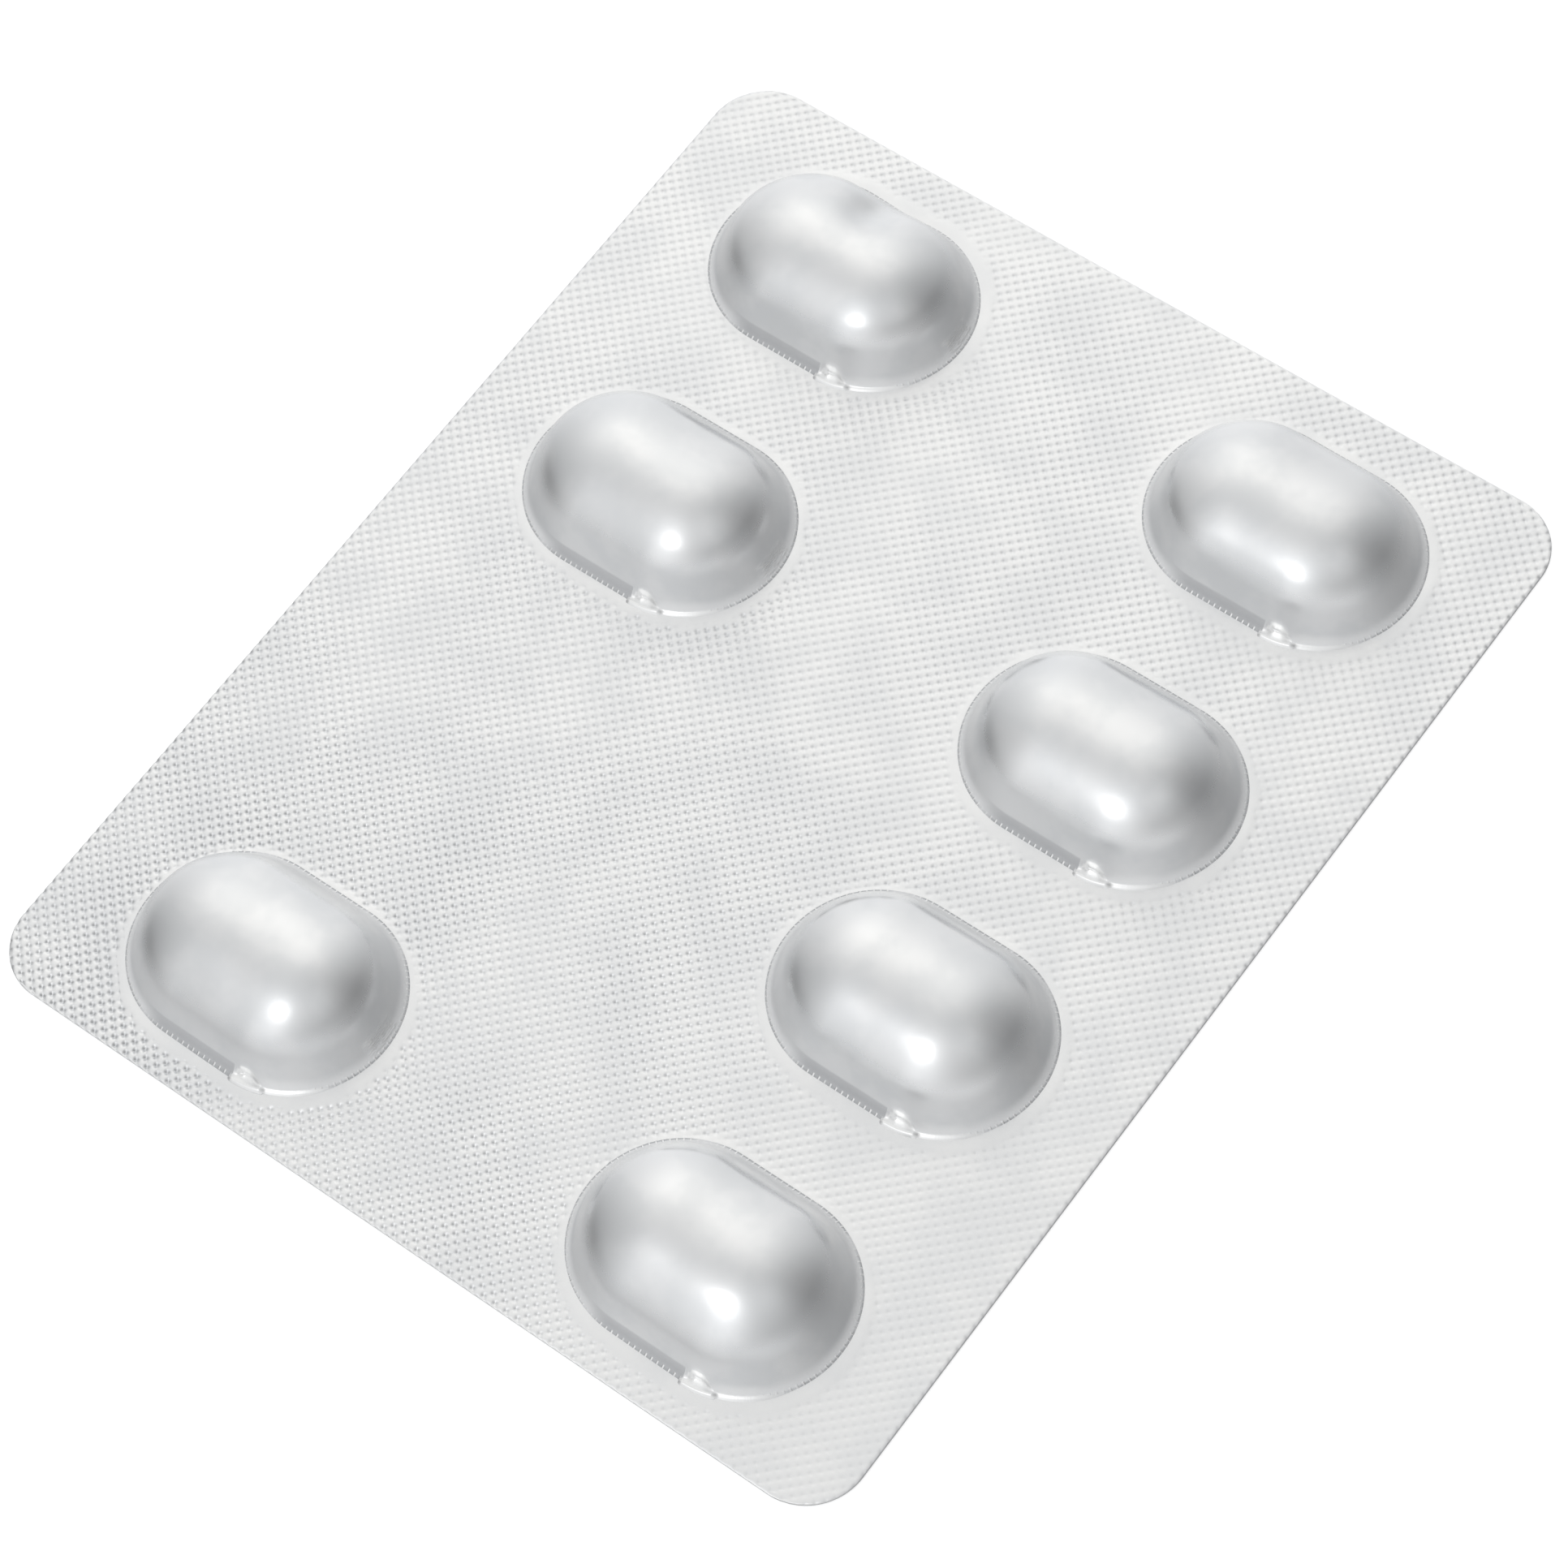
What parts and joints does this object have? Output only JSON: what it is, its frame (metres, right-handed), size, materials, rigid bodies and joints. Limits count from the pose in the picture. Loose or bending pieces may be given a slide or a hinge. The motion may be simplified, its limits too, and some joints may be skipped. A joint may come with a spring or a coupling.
{
  "type": "pill blister pack",
  "caption": "Sealed aluminium blister card for large oblong tablets: smooth domed pockets in two columns on a flat knurled web, with one seat left blank.",
  "frame": {"origin": "middle of the flat back of the card, on the plane that it rests on", "axes": "+X across the card's short side, +Y along its long side towards the row with the dented pocket, +Z out of the domed side"},
  "size_m": [0.078, 0.096, 0.0061],
  "materials": {
    "foil": "satin foil, knurled on the sealed web and smooth on the pockets"
  },
  "bodies": {
    "root": {"blister_pack": "foil"}
  },
  "joints": []
}
